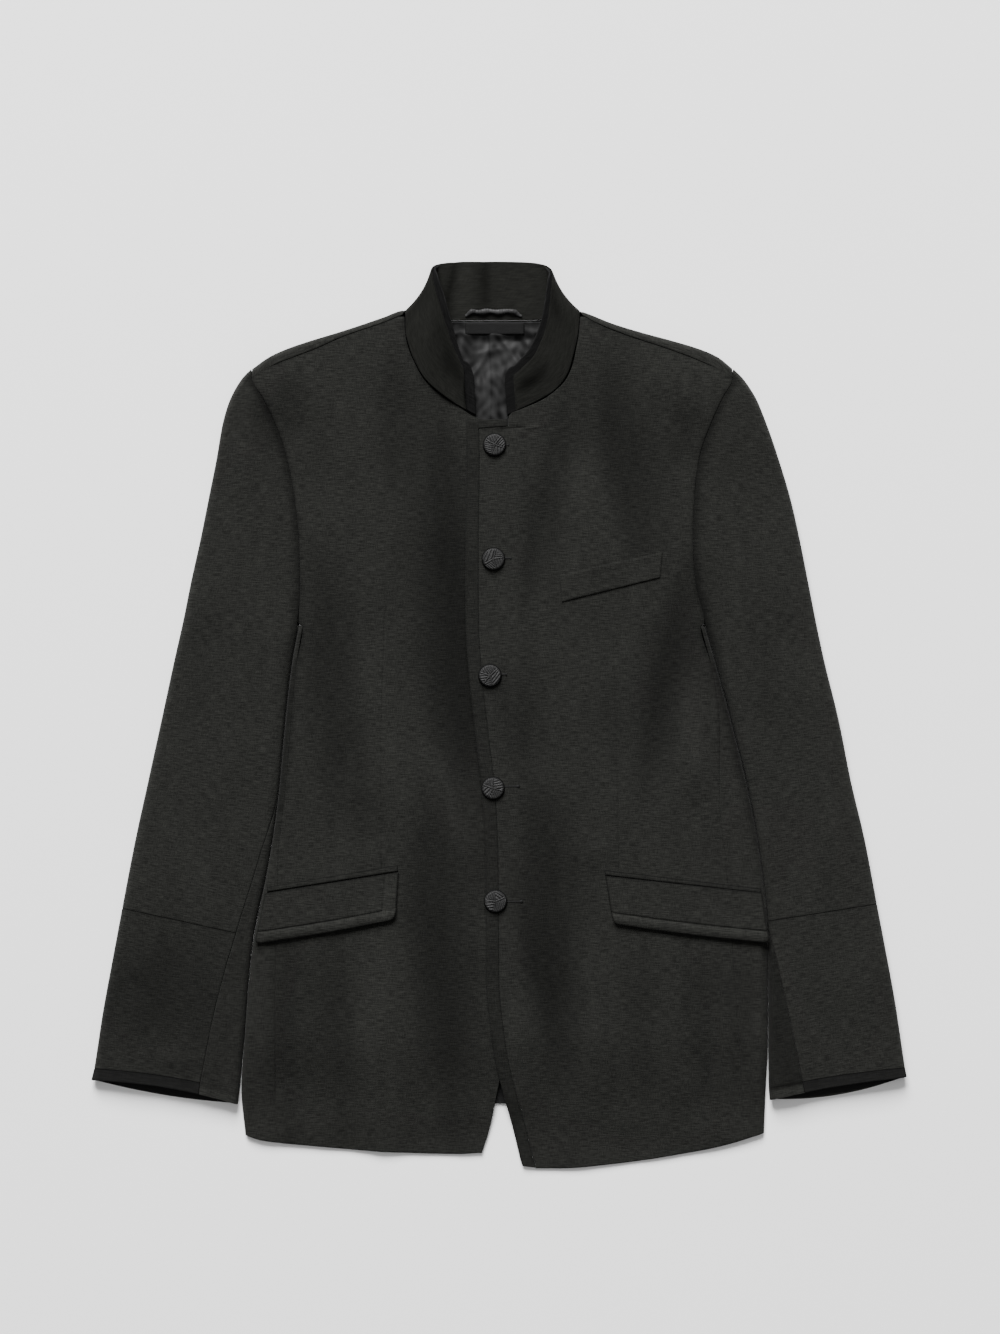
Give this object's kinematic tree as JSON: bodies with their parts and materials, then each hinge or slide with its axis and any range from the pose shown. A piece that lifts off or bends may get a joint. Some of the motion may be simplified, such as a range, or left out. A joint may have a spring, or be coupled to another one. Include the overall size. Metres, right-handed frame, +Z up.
{
  "type": "stand collar jacket",
  "caption": "Buttoned stand collar jacket of dark grey wool, laid flat on its back, with flap pockets, a breast welt, long set-in sleeves and thread buttons.",
  "frame": {"origin": "under the middle of the outline, on the surface that the jacket lies on", "axes": "+Y from the hem to the collar, +X to the viewer's right (the wearer's left), +Z up from the surface"},
  "size_m": [0.7488, 0.8335, 0.0225],
  "materials": {
    "wool": "fine slubbed weave, soft slight sheen",
    "dark_edge": "smooth dense near-black cloth",
    "satin_lining": "crumpled grey satin",
    "thread_button": "thread wrapped in fine ridges"
  },
  "bodies": {
    "root": {"back": "wool", "side_left": "wool", "side_right": "wool", "front_under": "wool", "front_over": "wool", "front_band": "wool", "sleeve_left_upper": "wool", "sleeve_left_lower": "wool", "cuff_left_band": "dark_edge", "sleeve_left_under": "wool", "sleeve_right_upper": "wool", "sleeve_right_lower": "wool", "cuff_right_band": "dark_edge", "sleeve_right_under": "wool", "collar_outer": "wool", "collar_inner": "dark_edge", "back_lining": "satin_lining", "neck_label": "dark_edge", "hanger_loop": "satin_lining", "flap_left": "wool", "flap_right": "wool", "jet_left": "wool", "jet_right": "wool", "breast_welt": "wool", "button_1": "thread_button", "button_2": "thread_button", "button_3": "thread_button", "button_4": "thread_button", "button_5": "thread_button"}
  },
  "joints": []
}
